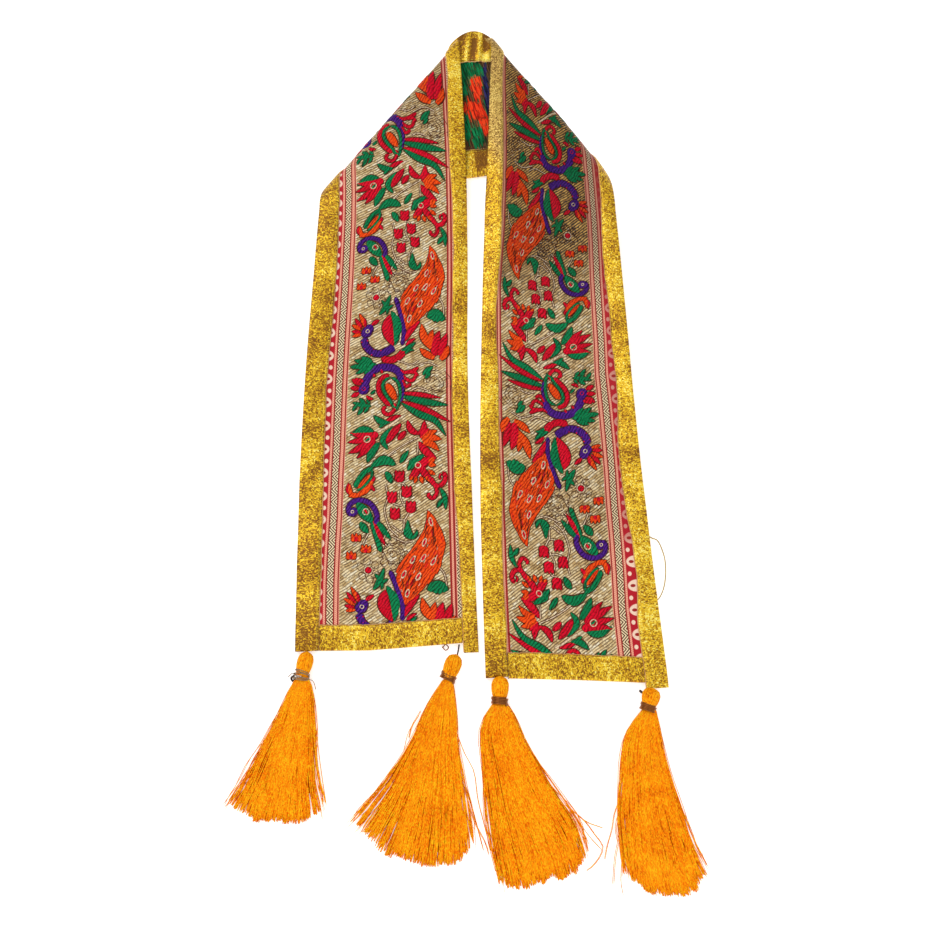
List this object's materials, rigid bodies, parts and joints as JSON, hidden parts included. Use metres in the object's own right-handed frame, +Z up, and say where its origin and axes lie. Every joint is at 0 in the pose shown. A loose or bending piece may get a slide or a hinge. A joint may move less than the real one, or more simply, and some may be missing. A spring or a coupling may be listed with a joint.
{
  "type": "dupatta stole",
  "caption": "Narrow brocade stole laid flat, folded back at both shoulders, bound all round in gold ribbon, with a silk tassel at each hem corner.",
  "frame": {"origin": "middle of the footprint, on the surface that the stole lies on", "axes": "+Y from the hems to the neck, +Z up from the surface, +X toward the leg that lies on the right in the picture"},
  "size_m": [0.2528, 0.525, 0.0224],
  "materials": {
    "brocade": "metallic-thread brocade, cream gold and brown twill ground with crimson, orange, green and purple floats",
    "gold_ribbon": "glittering woven gold lurex ribbon",
    "orange_silk": "glossy orange silk thread",
    "bronze_wire": "dull bronze wire wrap"
  },
  "bodies": {
    "root": {"brocade_left_leg": "brocade", "brocade_neck": "brocade", "brocade_right_leg": "brocade", "binding_outer_left": "gold_ribbon", "binding_outer_neck": "gold_ribbon", "binding_outer_right": "gold_ribbon", "binding_inner_left": "gold_ribbon", "binding_inner_neck": "gold_ribbon", "binding_inner_right": "gold_ribbon", "hem_band_left": "gold_ribbon", "hem_band_right": "gold_ribbon", "tassel_1_head": "orange_silk", "tassel_1_wrap": "bronze_wire", "tassel_1_skirt": "orange_silk", "tassel_2_head": "orange_silk", "tassel_2_wrap": "bronze_wire", "tassel_2_skirt": "orange_silk", "tassel_3_head": "orange_silk", "tassel_3_wrap": "bronze_wire", "tassel_3_skirt": "orange_silk", "tassel_4_head": "orange_silk", "tassel_4_wrap": "bronze_wire", "tassel_4_skirt": "orange_silk"}
  },
  "joints": []
}
